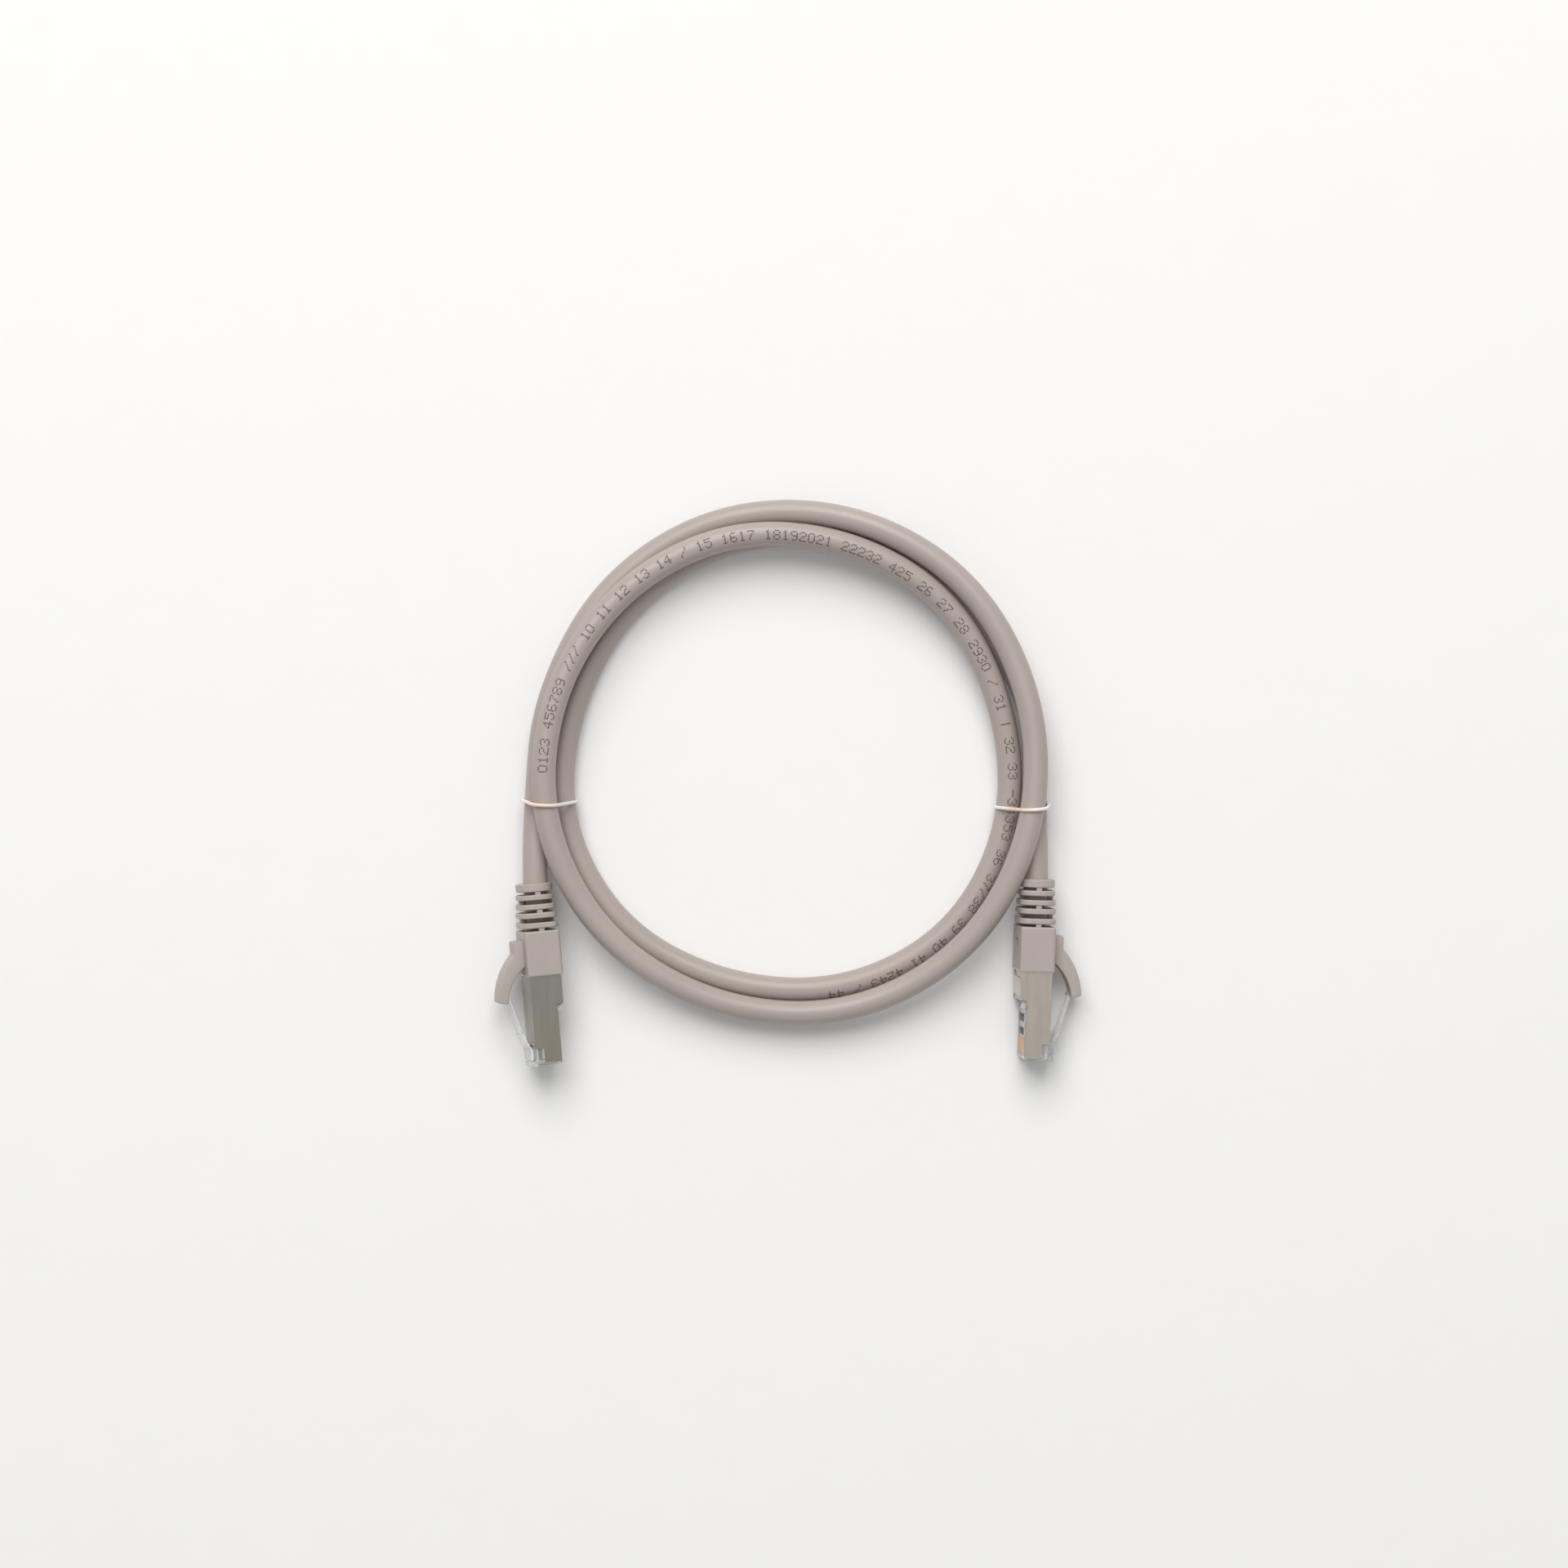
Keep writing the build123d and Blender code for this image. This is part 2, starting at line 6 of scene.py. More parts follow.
import bmesh
import bpy
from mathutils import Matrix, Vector


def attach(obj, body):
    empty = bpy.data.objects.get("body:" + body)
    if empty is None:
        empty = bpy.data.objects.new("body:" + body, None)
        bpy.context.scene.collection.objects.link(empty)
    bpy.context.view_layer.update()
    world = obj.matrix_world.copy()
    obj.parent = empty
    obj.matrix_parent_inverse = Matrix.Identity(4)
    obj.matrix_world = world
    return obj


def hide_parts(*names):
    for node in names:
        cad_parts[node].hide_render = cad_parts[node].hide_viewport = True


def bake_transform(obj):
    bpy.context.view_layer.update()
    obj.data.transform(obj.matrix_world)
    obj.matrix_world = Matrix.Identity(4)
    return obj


MM = 0.001

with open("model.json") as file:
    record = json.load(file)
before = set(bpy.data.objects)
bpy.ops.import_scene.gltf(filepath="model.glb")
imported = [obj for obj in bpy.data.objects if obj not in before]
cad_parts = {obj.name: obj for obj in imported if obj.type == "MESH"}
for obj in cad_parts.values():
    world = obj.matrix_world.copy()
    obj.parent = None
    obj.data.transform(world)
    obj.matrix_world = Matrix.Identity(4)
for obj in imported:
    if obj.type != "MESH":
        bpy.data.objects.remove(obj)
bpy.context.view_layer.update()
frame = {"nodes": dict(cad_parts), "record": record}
nodes = frame["nodes"]
mounts = {m["name"]: m for m in frame["record"]["mounts"]}
scene = bpy.context.scene

# ---------------------------------------------------------------- camera
VIEW_WIDTH = 0.400
VIEW_DISTANCE = 0.944
VIEW_CENTRE = (-0.0009, -0.0003)
# the plane, at mid height of the object, that VIEW_WIDTH is measured in
VIEW_LEVEL = 0.007
LENS = 85
FAR_CLIP = 20
camera_data = bpy.data.cameras.new("camera")
camera_data.lens = LENS
camera_data.sensor_width = VIEW_WIDTH * LENS / VIEW_DISTANCE
camera_data.clip_end = FAR_CLIP
camera = bpy.data.objects.new("camera", camera_data)
camera.location = (VIEW_CENTRE[0], VIEW_CENTRE[1], VIEW_DISTANCE + VIEW_LEVEL)
camera.rotation_euler = (0, 0, 0)
scene.collection.objects.link(camera)
scene.camera = camera
scene.view_settings.view_transform = "Standard"


# ---------------------------------------------------------------- plug frames
class PlugFrame:
    """x toward the nose, z toward the latch, origin at the nose, as in the CAD."""

    def __init__(self, side):
        entry = mounts[side + "_jack_entry"]
        self.origin = Vector(entry["pos_m"])
        self.x = Vector(entry["axis"]).normalized()
        self.y = Vector(mounts[side + "_ground_face"]["axis"]).normalized()
        self.z = self.x.cross(self.y).normalized()

    def at(self, x, y, z):
        """Point given in millimetres in the plug's own frame."""
        return self.origin + (self.x * x + self.y * y + self.z * z) * MM


plugs = {side: PlugFrame(side) for side in ("left", "right")}

# ---------------------------------------------------------------- cable route
# millimetres, but for the radius
CABLE_RADIUS = 3.1 * MM
CABLE_DROP = -0.75
JACKET_END = -26.25
REAR_CORNER = -44.5
LINE_STEPS = 28
COIL_CENTRE = (-0.2, 5.45)
COIL = (
    # angle in degrees, radius, height
    (165, 63.9, 5.73), (135, 65.2, 4.16), (105, 66.0, 4.94), (75, 65.9, 7.7), (45, 66.0, 9.92),
    (15, 65.1, 11.17), (-15, 65.7, 13.12), (-45, 67.3, 10.13), (-75, 67.2, 6.63), (-105, 65.6, 6.42),
    (-135, 65.7, 9.32), (-165, 64.8, 12.7), (165, 62.7, 12.32), (135, 61.6, 9.51), (105, 60.8, 9.6),
    (75, 58.9, 9.39), (45, 58.9, 8.25), (15, 57.7, 5.14), (-15, 60.1, 4.06), (-45, 62.0, 3.2),
    (-75, 61.1, 3.16), (-105, 59.7, 3.12), (-135, 61.2, 3.24), (-165, 60.7, 4.35), (165, 57.8, 3.27),
    (135, 58.5, 3.16), (105, 59.8, 3.12), (75, 60.8, 3.12), (45, 63.0, 3.12), (15, 65.4, 3.7),
)
LEFT_TAIL = (-64.16, -3.94, 6.38)
RIGHT_TAIL = (63.04, -2.45, 6.15)


def coil_point(angle, radius, height):
    """Corner of the route, in metres."""
    a = math.radians(angle)
    x = COIL_CENTRE[0] + radius * math.cos(a)
    y = COIL_CENTRE[1] + radius * math.sin(a)
    return Vector((x, y, height)) * MM


route = [plugs["left"].at(x, 0, CABLE_DROP) for x in (JACKET_END, REAR_CORNER)]
route += [Vector(LEFT_TAIL) * MM]
route += [coil_point(*corner) for corner in COIL]
route += [Vector(RIGHT_TAIL) * MM]
route += [plugs["right"].at(x, 0, CABLE_DROP) for x in (REAR_CORNER, JACKET_END)]


def nurbs_line(points, resolution):
    """Points along the smooth line of the route."""
    data = bpy.data.curves.new("route_line", "CURVE")
    data.dimensions = "3D"
    spline = data.splines.new("NURBS")
    spline.points.add(len(points) - 1)
    for spot, point in zip(spline.points, points):
        spot.co = (*point, 1)
    spline.order_u = 3
    spline.use_endpoint_u = True
    spline.resolution_u = resolution
    holder = bpy.data.objects.new("route_line", data)
    scene.collection.objects.link(holder)
    bpy.context.view_layer.update()
    mesh = bpy.data.meshes.new_from_object(holder)
    line = [v.co.copy() for v in mesh.vertices]
    bpy.data.objects.remove(holder)
    bpy.data.meshes.remove(mesh)
    bpy.data.curves.remove(data)
    return line


line = nurbs_line(route, LINE_STEPS)


def level_frames(points):
    """Tangent, level side and up at each point."""
    tangents = []
    last = len(points) - 1
    for i in range(len(points)):
        step = points[min(i + 1, last)] - points[max(i - 1, 0)]
        tangents.append(step.normalized())
    up = Vector((0, 0, 1))
    frames = []
    for tangent in tangents:
        side = tangent.cross(up).normalized()
        frames.append((tangent, side, side.cross(tangent).normalized()))
    return frames


line_frames = level_frames(line)
# distance along the line at each of its points
travelled = [0.0]
for a, b in zip(line, line[1:]):
    travelled.append(travelled[-1] + (b - a).length)


# ---------------------------------------------------------------- objects and materials
# angle in degrees above which a moulded edge counts as sharp
MOULDED_EDGE = 35
# the part of a noise's range that holds most of its values
NOISE_SPAN = (0.3, 0.7)


def new_object(name, mesh):
    obj = bpy.data.objects.new(name, mesh)
    scene.collection.objects.link(obj)
    return obj


def outward_mesh(name, verts, faces, soft_edge=None):
    """Mesh with its faces turned outward, and its sharp edges rounded if a width is given."""
    mesh = bpy.data.meshes.new(name)
    mesh.from_pydata(verts, [], faces)
    work = bmesh.new()
    work.from_mesh(mesh)
    bmesh.ops.recalc_face_normals(work, faces=work.faces)
    if soft_edge:
        limit = math.radians(MOULDED_EDGE)
        sharp = [edge for edge in work.edges if edge.calc_face_angle(0) > limit]
        bmesh.ops.bevel(
            work, geom=sharp, offset=soft_edge, segments=3, profile=0.5, affect="EDGES"
        )
    work.to_mesh(mesh)
    work.free()
    return mesh


def shade_smooth(obj, angle=None):
    """Smooth shading, with sharp edges kept above an angle in degrees if one is given."""
    for polygon in obj.data.polygons:
        polygon.use_smooth = True
    if angle is not None:
        chosen = dict(object=obj, active_object=obj, selected_editable_objects=[obj])
        with bpy.context.temp_override(**chosen):
            bpy.ops.object.shade_smooth_by_angle(angle=math.radians(angle))


class Nodes:
    """Short way to build a node material."""

    def __init__(self, name):
        self.material = bpy.data.materials.new(name)
        self.material.use_nodes = True
        self.tree = self.material.node_tree
        self.tree.nodes.clear()
        self.out = self.add("ShaderNodeOutputMaterial")
        self.shader = self.add("ShaderNodeBsdfPrincipled")
        self.join(self.shader, "BSDF", self.out, "Surface")

    def add(self, kind, **values):
        """New node, with its own settings given by name."""
        node = self.tree.nodes.new(kind)
        for key, value in values.items():
            setattr(node, key, value)
        return node

    def join(self, a, output, b, entry):
        self.tree.links.new(a.outputs[output], b.inputs[entry])

    def set(self, **values):
        """Shader sockets, named with underscores for spaces."""
        for key, value in values.items():
            self.shader.inputs[key.replace("_", " ")].default_value = value

    def object_place(self, stretch=(1, 1, 1)):
        """The piece's own coordinates, stretched."""
        coords = self.add("ShaderNodeTexCoord")
        return self.stretched(coords, "Object", stretch)

    def stretched(self, source, output, stretch):
        mapping = self.add("ShaderNodeMapping")
        mapping.inputs["Scale"].default_value = stretch
        self.join(source, output, mapping, "Vector")
        return mapping

    def noise(self, scale, detail, roughness=0.5, stretch=(1, 1, 1), place=None):
        """Noise over the piece, or over another place given as a mapping node."""
        node = self.add("ShaderNodeTexNoise")
        node.inputs["Scale"].default_value = scale
        node.inputs["Detail"].default_value = detail
        node.inputs["Roughness"].default_value = roughness
        self.join(place or self.object_place(stretch), "Vector", node, "Vector")
        return node

    def ramp(self, source, output, span, result):
        """The span of an output's values carried to the result's two ends."""
        node = self.add("ShaderNodeMapRange")
        node.inputs["From Min"].default_value, node.inputs["From Max"].default_value = span
        node.inputs["To Min"].default_value, node.inputs["To Max"].default_value = result
        self.join(source, output, node, "Value")
        return node

    def mix(self, factor, output, first, second):
        """Mix of two colours; the first may be a node."""
        node = self.add("ShaderNodeMix", data_type="RGBA")
        self.join(factor, output, node, "Factor")
        if isinstance(first, bpy.types.Node):
            self.join(first, "Result", node, "A")
        else:
            node.inputs["A"].default_value = (*first, 1)
        node.inputs["B"].default_value = (*second, 1)
        return node

    def colour(self, mixed):
        self.join(mixed, "Result", self.shader, "Base Color")

    def gloss(self, noise, rough, smoother, rougher):
        """Roughness that drifts between a little below and a little above a value."""
        drift = self.ramp(noise, "Fac", NOISE_SPAN, (rough - smoother, rough + rougher))
        self.join(drift, "Result", self.shader, "Roughness")

    def relief(self, *layers):
        """Bump layers on top of each other: (noise, strength, depth in metres)."""
        below = None
        for noise, strength, depth in layers:
            node = self.add("ShaderNodeBump")
            node.inputs["Strength"].default_value = strength
            node.inputs["Distance"].default_value = depth
            self.join(noise, "Fac", node, "Height")
            if below:
                self.join(below, "Normal", node, "Normal")
            below = node
        self.join(below, "Normal", self.shader, "Normal")


def mottled(n, low, high, scale=90):
    """Base colour that drifts a little between two tones."""
    drift = n.noise(scale, detail=4, roughness=0.6)
    mixed = n.mix(n.ramp(drift, "Fac", NOISE_SPAN, (0, 1)), "Result", low, high)
    n.colour(mixed)
    return mixed


def shades(base, spread):
    """The same tone a little darker and a little lighter."""
    return tuple(c * (1 - spread) for c in base), tuple(min(1, c * (1 + spread)) for c in base)


def plastic(name, base, rough, fine, grain, spread=0.035):
    """Moulded plastic: faint mottling, surface grain of a depth and a scale, uneven gloss."""
    n = Nodes(name)
    mottled(n, *shades(base, spread))
    n.gloss(n.noise(260, detail=3, roughness=0.6), rough, smoother=0.05, rougher=0.06)
    coarse = n.noise(grain, detail=3, roughness=0.55)
    tiny = n.noise(grain * 4.5, detail=2)
    n.relief((coarse, 0.35, fine), (tiny, 0.25, fine * 0.4))
    return n


def extruded(name, base, rough):
    """Extruded jacket: faint long draw lines, slow drift of tone and gloss, a little handling dirt."""
    n = Nodes(name)
    lay = n.add("ShaderNodeAttribute", attribute_name="lay")

    def along(scale, run, detail=3):
        """Noise in the straightened cable's own space, drawn out along its run."""
        return n.noise(scale, detail, place=n.stretched(lay, "Vector", (1, 1, run)))

    dark, light = shades(base, 0.045)
    stain = tuple(c * 0.82 for c in base)
    tone = n.mix(n.ramp(along(60, 0.35), "Fac", NOISE_SPAN, (0, 1)), "Result", dark, light)
    dirt = n.ramp(along(420, 0.5, detail=5), "Fac", (0.62, 0.8), (0, 0.35))
    n.colour(n.mix(dirt, "Result", tone, stain))
    n.gloss(along(150, 0.2), rough, smoother=0.06, rougher=0.08)
    draw_lines = along(900, 0.02, detail=2)
    pits = along(1900, 0.6, detail=2)
    waves = along(70, 0.6, detail=1)
    n.relief((draw_lines, 0.2, 0.00003), (pits, 0.25, 0.00002), (waves, 0.12, 0.0004))
    return n


TIE_WHITE = (0.88, 0.87, 0.86)
# warm tint of the painted shade on the bands, partly the elastic's own colour
TIE_WARM_SHADE = (0.92, 0.66, 0.42)


def elastic(name, shade_place, reach):
    """Milky elastic cord, with a warm patch of painted shade about one given place, partly the
    elastic's own warm tint.
    """
    n = Nodes(name)
    # painted shade: warm tint strongest at the given place, fading out within reach
    away = n.add("ShaderNodeVectorMath", operation="DISTANCE")
    n.join(n.object_place(), "Vector", away, 0)
    away.inputs[1].default_value = shade_place
    warm_shade = n.ramp(away, "Value", (reach, reach * 0.45), (0, 1))
    uneven = n.ramp(n.noise(900, detail=2), "Fac", (0.3, 0.6), (0.55, 1))
    patch = n.add("ShaderNodeMath", operation="MULTIPLY")
    n.join(warm_shade, "Result", patch, 0)
    n.join(uneven, "Result", patch, 1)
    n.colour(n.mix(patch, "Value", TIE_WHITE, TIE_WARM_SHADE))
    ribs = n.noise(2600, detail=2)
    n.relief((ribs, 0.3, 0.00003))
    n.gloss(ribs, 0.36, smoother=0.06, rougher=0.06)
    n.set(Subsurface_Weight=0.2, Subsurface_Scale=0.0008)
    return n


# where along Y the plug's shield turns from its own tint to the painted reflection tint at the nose
NOSE_REFLECTION_DRIFT = (-0.048, -0.063)


def sheet_metal(name, tint, rough, nose_reflection_tint=None):
    """Thin plated sheet with fine rolling lines; its tint can drift toward a painted reflection at the
    plug's nose.
    """
    n = Nodes(name)
    mixed = mottled(n, *shades(tint, 0.04), scale=160)
    # painted reflection: the tint drifts along Y toward the nose's reflection tint
    if nose_reflection_tint:
        split = n.add("ShaderNodeSeparateXYZ")
        n.join(n.object_place(), "Vector", split, "Vector")
        n.colour(n.mix(n.ramp(split, "Y", NOSE_REFLECTION_DRIFT, (0, 1)), "Result", mixed, nose_reflection_tint))
    rolling = n.noise(900, detail=2, stretch=(1, 0.06, 1))
    n.gloss(rolling, rough, smoother=0.03, rougher=0.04)
    dents = n.noise(55, detail=1, roughness=0.4)
    n.relief((rolling, 0.05, 0.000012), (dents, 0.2, 0.0004))
    n.set(Metallic=1.0)
    return n


def clear_plastic(name, clearness, index):
    """Clear moulded polycarbonate with faint flow marks and a trace of haze."""
    n = Nodes(name)
    flow = n.noise(140, detail=2)
    n.relief((flow, 0.15, 0.00008))
    n.gloss(flow, 0.04, smoother=0.02, rougher=0.02)
    n.set(Base_Color=(0.985, 0.99, 0.995, 1), Transmission_Weight=clearness, IOR=index)
    return n


jacket = extruded("jacket", (0.43, 0.372, 0.342), rough=0.38)
boot = plastic("boot", (0.45, 0.395, 0.365), rough=0.46, fine=0.00005, grain=3200, spread=0.03)
ink = plastic("ink", (0.125, 0.095, 0.085), rough=0.5, fine=0.00001, grain=4000, spread=0.2)
# bright white for the strips standing in for a painted highlight at the boots' front edges
highlight_rim_white = plastic("highlight_rim_white", (0.95, 0.945, 0.93), rough=0.35, fine=0.00001, grain=3000)
# each band with the place of its painted warm shade
ties = {
    "left": elastic("band_left", (-0.0622, -0.0052, 0.0140), reach=0.0045),
    "right": elastic("band_right", (0.0565, -0.0062, 0.0150), reach=0.0062),
}
# one nickel on both plugs, painted darker and cooler on the left and lighter and warmer on the right
# as painted reflection
nickel = {
    "left": sheet_metal(
        "nickel_darker_reflection", (0.385, 0.385, 0.372), rough=0.36, nose_reflection_tint=(0.405, 0.38, 0.31)
    ),
    "right": sheet_metal("nickel_lighter_reflection", (0.66, 0.60, 0.53), rough=0.37),
}
braid = sheet_metal("braid", (0.72, 0.71, 0.69), rough=0.35)
foil = sheet_metal("foil", (0.80, 0.80, 0.81), rough=0.2)
gold = sheet_metal("gold", (1.0, 0.50, 0.12), rough=0.38)
copper = sheet_metal("copper", (0.80, 0.42, 0.25), rough=0.28)
clear = clear_plastic("clear", clearness=0.8, index=1.33)
clear_latch = clear_plastic("clear_latch", clearness=0.86, index=1.4)

WIRE_COLOURS = {
    1: (0.85, 0.62, 0.42), 2: (0.85, 0.30, 0.05), 3: (0.60, 0.78, 0.58), 4: (0.06, 0.17, 0.55),
    5: (0.55, 0.66, 0.84), 6: (0.05, 0.36, 0.12), 7: (0.66, 0.55, 0.46), 8: (0.22, 0.11, 0.06),
}


def paint(obj, built):
    obj.data.materials.clear()
    obj.data.materials.append(built.material)


for number, colour in WIRE_COLOURS.items():
    wire = plastic("wire_%d" % number, colour, rough=0.4, fine=0.00001, grain=3000)
    paint(nodes["conductor_%d" % number], wire)
paint(nodes["copper_cores"], copper)
paint(nodes["cable_braid"], braid)
paint(nodes["foiled_pairs"], foil)
for side in plugs:
    for piece, material in (
        ("housing", clear), ("latch", clear_latch), ("load_bar", clear), ("shield", nickel[side]),
        ("contacts", gold), ("boot", boot), ("latch_guard", boot), ("band", ties[side]),
    ):
        paint(nodes["%s_%s" % (side, piece)], material)
    for piece in ("boot", "latch_guard"):
        shade_smooth(nodes["%s_%s" % (side, piece)], MOULDED_EDGE)


# ---------------------------------------------------------------- cable jacket
AROUND = 56
# angle in degrees that keeps the tube's two end edges sharp
TUBE_EDGE = 60


def ring_spot(k):
    """Unit circle at one of the tube's AROUND places."""
    a = 2 * math.pi * k / AROUND
    return math.cos(a), math.sin(a)


def tube_mesh(name, points, frames, radius):
    """Round tube along a line, closed at both ends."""
    verts = []
    for point, (_, side, up) in zip(points, frames):
        for k in range(AROUND):
            c, s = ring_spot(k)
            verts.append(point + (side * c + up * s) * radius)
    faces = []
    for first in range(0, (len(points) - 1) * AROUND, AROUND):
        for k in range(AROUND):
            a, b = first + k, first + (k + 1) % AROUND
            faces.append((a, b, b + AROUND, a + AROUND))
    faces.append(tuple(reversed(range(AROUND))))
    faces.append(tuple(range(len(verts) - AROUND, len(verts))))
    return outward_mesh(name, verts, faces)


cable = new_object("cable", tube_mesh("cable", line, line_frames, CABLE_RADIUS))
shade_smooth(cable, TUBE_EDGE)
# place on the straightened cable: around, around, along
lay = cable.data.attributes.new("lay", "FLOAT_VECTOR", "POINT")
for index in range(len(line) * AROUND):
    row, k = divmod(index, AROUND)
    c, s = ring_spot(k)
    lay.data[index].vector = Vector((c * CABLE_RADIUS, s * CABLE_RADIUS, travelled[row]))
paint(cable, jacket)
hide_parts("cable_jacket")
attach(cable, "cord")

# ---------------------------------------------------------------- printed length marks
# five by seven dots to a character, one row after the other
CHARACTERS = {
    "0": "01110 10001 10001 10001 10001 10001 01110",
    "1": "00100 01100 00100 00100 00100 00100 01110",
    "2": "01110 10001 00001 00110 01000 10000 11111",
    "3": "01110 10001 00001 00110 00001 10001 01110",
    "4": "00010 00110 01010 10010 11111 00010 00010",
    "5": "11111 10000 11110 00001 00001 10001 01110",
    "6": "01110 10000 10000 11110 10001 10001 01110",
    "7": "11111 00001 00010 00100 00100 01000 01000",
    "8": "01110 10001 10001 01110 10001 10001 01110",
    "9": "01110 10001 10001 01111 00001 00001 01110",
    "|": "00100 00100 00100 00100 00100 00100 00100",
    "/": "00001 00001 00010 00100 01000 10000 10000",
    "-": "00000 00000 00000 11111 00000 00000 00000",
}
MARKS = (
    "0123 456789 /// 10 11 12 13 14 / 15 1617 18192021 22232 425 26 27 28 2930 / 31 | 32 33 -34353 "
    "36 37/38 39 40 41 4243 / 44"
)
DOT_PITCH = 0.00037
DOT_RADIUS = 0.0002
DOT_SIDES = 8
CHARACTER_PITCH = 0.00222
MIDDLE_ROW = 3
INK_HEIGHT = 0.000012
INK_EDGE = 0.0000036
# the marks are on the second turn and start at the table's first angle
MARKS_TURN = 720
# how they turn about the cable: (degrees round the coil, degrees from the top)
MARKS_ROLL = (
    (183, 2), (126, 6), (93, -8), (60, -15), (40, -8),
    (0, 11), (-43, 26), (-90, 46), (-117, 68), (-180, 85),
)


def coil_angle(point):
    """Degrees round the coil's centre."""
    return math.degrees(math.atan2(point.y - COIL_CENTRE[1] * MM, point.x - COIL_CENTRE[0] * MM))


def winding_angles(points):
    """Angle round the coil, running on from turn to turn."""
    angles = [coil_angle(points[0])]
    for point in points[1:]:
        step = (coil_angle(point) - angles[-1] + 180) % 360 - 180
        angles.append(angles[-1] + step)
    return angles


def between(table, x):
    """Straight-line reading of a table sorted from high to low."""
    for (x0, y0), (x1, y1) in zip(table, table[1:]):
        if x >= x1:
            share = (x0 - x) / (x0 - x1)
            return y0 + (y1 - y0) * min(max(share, 0), 1)
    return table[-1][1]


winding = [angle + MARKS_TURN for angle in winding_angles(line)]
marks_start = travelled[next(i for i, angle in enumerate(winding) if angle <= MARKS_ROLL[0][0])]


def on_jacket(distance, across, rise):
    """Point on the cable's surface, at a distance along it and a width across the printed line."""
    index = bisect.bisect_right(travelled, distance) - 1
    share = (distance - travelled[index]) / (travelled[index + 1] - travelled[index])
    centre = line[index].lerp(line[index + 1], share)
    _, side, up = line_frames[index]
    roll = math.radians(between(MARKS_ROLL, winding[index])) + across / CABLE_RADIUS
    outward = -side if side.dot(centre.xy.to_3d()) < 0 else side
    return centre + (up * math.cos(roll) + outward * math.sin(roll)) * (CABLE_RADIUS + rise)


def print_mesh(text):
    """Raised ink dots, five by seven to a character."""
    verts, faces = [], []
    for number, character in enumerate(text):
        for row, bits in enumerate(CHARACTERS.get(character, "").split()):
            for column, bit in enumerate(bits):
                if bit == "0":
                    continue
                distance = marks_start + number * CHARACTER_PITCH + column * DOT_PITCH
                across = (MIDDLE_ROW - row) * DOT_PITCH
                first = len(verts)
                for k in range(DOT_SIDES):
                    a = 2 * math.pi * k / DOT_SIDES
                    spot = (distance + math.cos(a) * DOT_RADIUS, across + math.sin(a) * DOT_RADIUS)
                    verts.append(on_jacket(*spot, INK_EDGE))
                verts.append(on_jacket(distance, across, INK_HEIGHT))
                top = first + DOT_SIDES
                for k in range(DOT_SIDES):
                    faces.append((first + k, first + (k + 1) % DOT_SIDES, top))
    mesh = bpy.data.meshes.new("length_marks")
    mesh.from_pydata(verts, [], faces)
    mesh.update()
    return mesh


marks = new_object("length_marks", print_mesh(MARKS))
shade_smooth(marks)
paint(marks, ink)
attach(marks, "cord")

# ---------------------------------------------------------------- latch guards
# millimetres in the plug's frame; the arcs are given by three points of (x, z)
GUARD_HALF = 3.07
GUARD_EDGE = 0.32
GUARD_SMOOTH = 40
ROOT_REAR = -31.63
ROOT_FOOT = 3.62
ROOT_TOP = 6.33
ROOT_CORNER = 0.7
GUARD_OUTER = ((-28.25, ROOT_TOP), (-22.9, 9.9), (-16.5, 11.38))
GUARD_INNER = ((-15.85, 8.8), (-21.2, 7.12), (-25.0, ROOT_FOOT))
ARC_STEPS = 22
CORNER_STEPS = 6
FLAT_STEPS = 5
# two places in the plug's frame, found as points for each guard but not used
BEND_START = (-28.3, 0, 5)
BEND_END = (-25.4, 0, 5)


def arc_points(a, b, c, count):
    """Points on the circle through three points, from the first to the last."""
    a, b, c = (Vector(p) for p in (a, b, c))
    d = 2 * (a.x * (b.y - c.y) + b.x * (c.y - a.y) + c.x * (a.y - b.y))
    squares = [p.length_squared for p in (a, b, c)]
    middle = Vector((
        (squares[0] * (b.y - c.y) + squares[1] * (c.y - a.y) + squares[2] * (a.y - b.y)) / d,
        (squares[0] * (c.x - b.x) + squares[1] * (a.x - c.x) + squares[2] * (b.x - a.x)) / d,
    ))
    first = math.atan2(a.y - middle.y, a.x - middle.x)
    sweep = math.atan2(c.y - middle.y, c.x - middle.x) - first
    sweep = (sweep + math.pi) % (2 * math.pi) - math.pi
    radius = (a - middle).length
    angles = [first + sweep * k / count for k in range(count + 1)]
    return [(middle.x + radius * math.cos(t), middle.y + radius * math.sin(t)) for t in angles]


def guard_outline():
    """Root block and curved arm as one outline of (x, z)."""
    corner = []
    for k in range(CORNER_STEPS + 1):
        a = math.pi - math.pi / 2 * k / CORNER_STEPS
        x = ROOT_REAR + ROOT_CORNER * (1 + math.cos(a))
        corner.append((x, ROOT_TOP - ROOT_CORNER * (1 - math.sin(a))))
    flat = ROOT_REAR + ROOT_CORNER
    flat_step = (GUARD_OUTER[0][0] - flat) / FLAT_STEPS
    top = [(flat + flat_step * k, ROOT_TOP) for k in range(1, FLAT_STEPS)]
    arm = arc_points(*GUARD_OUTER, ARC_STEPS) + arc_points(*GUARD_INNER, ARC_STEPS)
    return [(ROOT_REAR, ROOT_FOOT)] + corner + top + arm


def guard_mesh(name, plug):
    """Outline given a width, as one soft moulded piece."""
    outline = guard_outline()
    count = len(outline)
    verts = [plug.at(x, y, z) for y in (-GUARD_HALF, GUARD_HALF) for x, z in outline]
    faces = [tuple(range(count)), tuple(reversed(range(count, 2 * count)))]
    for k in range(count):
        after = (k + 1) % count
        faces.append((k, k + count, after + count, after))
    return outward_mesh(name, verts, faces, GUARD_EDGE * MM)


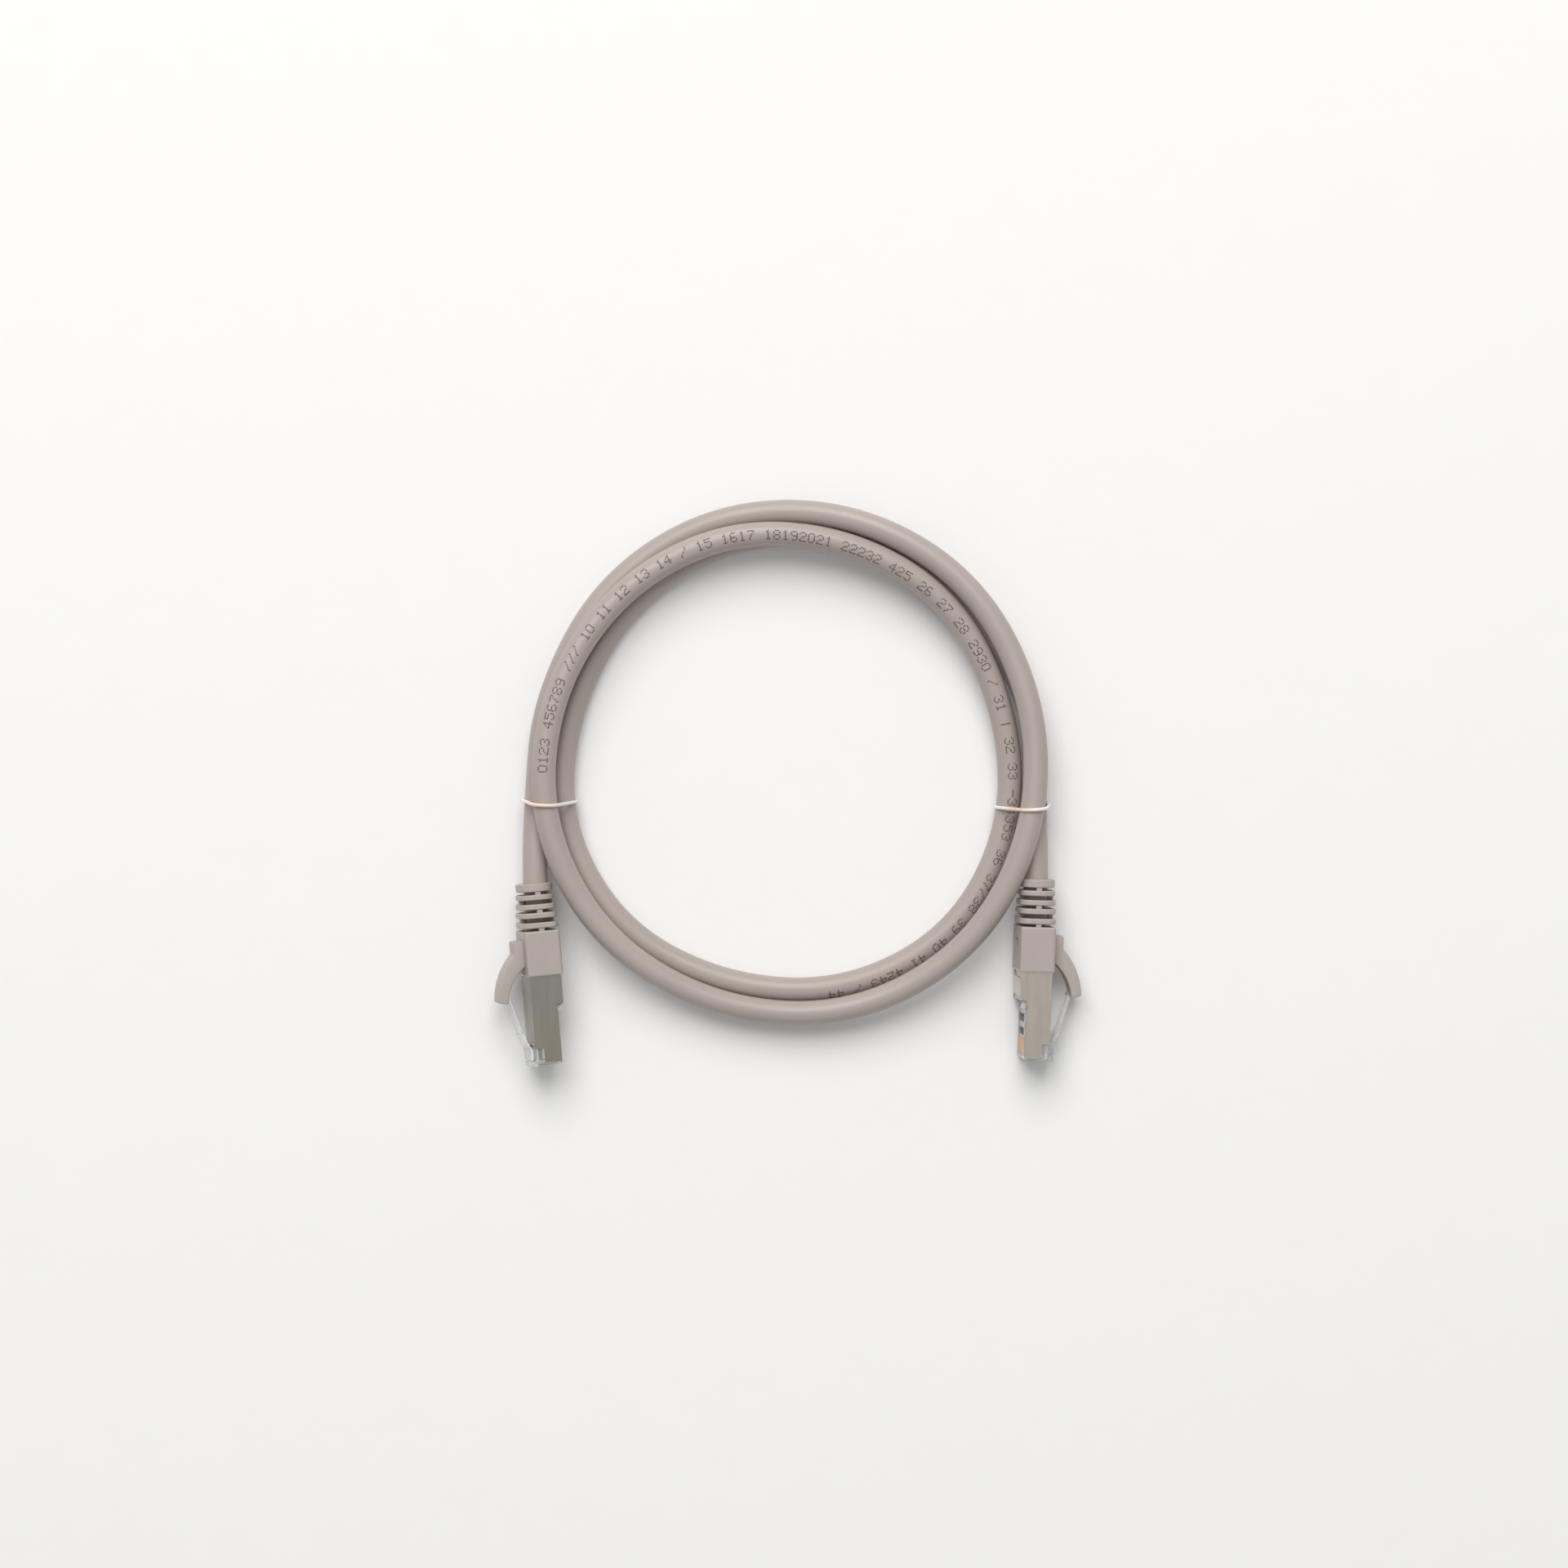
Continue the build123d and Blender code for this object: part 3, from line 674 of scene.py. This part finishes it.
for side, plug in plugs.items():
    name = side + "_guard_arm"
    arm = new_object(name, guard_mesh(name, plug))
    shade_smooth(arm, GUARD_SMOOTH)
    paint(arm, boot)
    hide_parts(side + "_latch_guard")
    start, end = (tuple(plug.at(*place)) for place in (BEND_START, BEND_END))
    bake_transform(arm)

# ---------------------------------------------------------------- rims at the boots' mouths, bright strips standing in for a painted highlight
# millimetres in the plug's frame
RIM_REAR = -22.82
RIM_LONG = 0.3
RIM_THICK = 0.3
RIM_HALF_WIDTH = 5.85
RIM_LOW = -4.81
RIM_HIGH = 3.31
RIM_CORNER = 0.35
RIM_STEPS = 5


def rounded_box(half, low, high, corner):
    """Outline of (y, z) with rounded corners."""
    left, right, foot, top = corner - half, half - corner, low + corner, high - corner
    outline = []
    for quarter, (y, z) in enumerate(((right, top), (left, top), (left, foot), (right, foot))):
        for k in range(RIM_STEPS + 1):
            a = math.pi / 2 * (quarter + k / RIM_STEPS)
            outline.append((y + corner * math.cos(a), z + corner * math.sin(a)))
    return outline


def rim_mesh(name, plug):
    """Thin square-sectioned ring round the shield, just in front of the boot, standing in for a
    painted highlight along its front edge.
    """
    inner, outer = (
        rounded_box(RIM_HALF_WIDTH + grow, RIM_LOW - grow, RIM_HIGH + grow, RIM_CORNER + grow)
        for grow in (0, RIM_THICK)
    )
    front = RIM_REAR + RIM_LONG
    section = ((RIM_REAR, inner), (RIM_REAR, outer), (front, outer), (front, inner))
    verts = [plug.at(x, *spot) for x, outline in section for spot in outline]
    count = len(inner)
    faces = []
    for ring in range(len(section)):
        a = ring * count
        b = (ring + 1) % len(section) * count
        for k in range(count):
            after = (k + 1) % count
            faces.append((a + k, a + after, b + after, b + k))
    return outward_mesh(name, verts, faces)


highlight_rims = {}
for side, plug in plugs.items():
    highlight_rims[side] = new_object(side + "_boot_rim", rim_mesh(side + "_boot_rim", plug))
    # painted highlight: a white strip along each boot's front edge
    paint(highlight_rims[side], highlight_rim_white)
    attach(highlight_rims[side], "cord")

# ---------------------------------------------------------------- floor and light
FLOOR_HALF = 3.0
FLOOR_GAP = 0.00002
corners = [(x * FLOOR_HALF, y * FLOOR_HALF, 0) for x, y in ((-1, -1), (1, -1), (1, 1), (-1, 1))]
floor_mesh = bpy.data.meshes.new("floor")
floor_mesh.from_pydata(corners, [], [(0, 1, 2, 3)])
floor = new_object("floor", floor_mesh)
paint(floor, plastic("floor", (0.93, 0.93, 0.93), rough=0.7, fine=0.00005, grain=300, spread=0.004))
floor.location.z = -FLOOR_GAP

# sky: brightness at the horizon and overhead, and the height that counts as overhead
HORIZON = 0.30
OVERHEAD = 0.46
OVERHEAD_HEIGHT = 0.9

world = bpy.data.worlds.new("world")
scene.world = world
world.use_nodes = True
sky = world.node_tree
direction = sky.nodes.new("ShaderNodeTexCoord")
height = sky.nodes.new("ShaderNodeSeparateXYZ")
dome = sky.nodes.new("ShaderNodeMapRange")
sky.links.new(direction.outputs["Generated"], height.inputs["Vector"])
sky.links.new(height.outputs["Z"], dome.inputs["Value"])
dome.inputs["From Min"].default_value = 0.0
dome.inputs["From Max"].default_value = OVERHEAD_HEIGHT
dome.inputs["To Min"].default_value = HORIZON
dome.inputs["To Max"].default_value = OVERHEAD
background = sky.nodes["Background"]
background.inputs["Color"].default_value = (1, 0.995, 0.99, 1)
sky.links.new(dome.outputs["Result"], background.inputs["Strength"])


# one large soft light from behind the coil, pointed at the middle of the scene
KEY_PLACE = (-0.25, 1.5, 1.95)
KEY_WIDTH = 2.2
KEY_POWER = 53
key_data = bpy.data.lights.new("key", "AREA")
key_data.shape = "DISK"
key_data.size = KEY_WIDTH
key_data.energy = KEY_POWER
key_data.color = (1, 0.99, 0.975)
key = bpy.data.objects.new("key", key_data)
key.location = KEY_PLACE
key.rotation_euler = (-Vector(KEY_PLACE)).to_track_quat("-Z", "Y").to_euler()
scene.collection.objects.link(key)
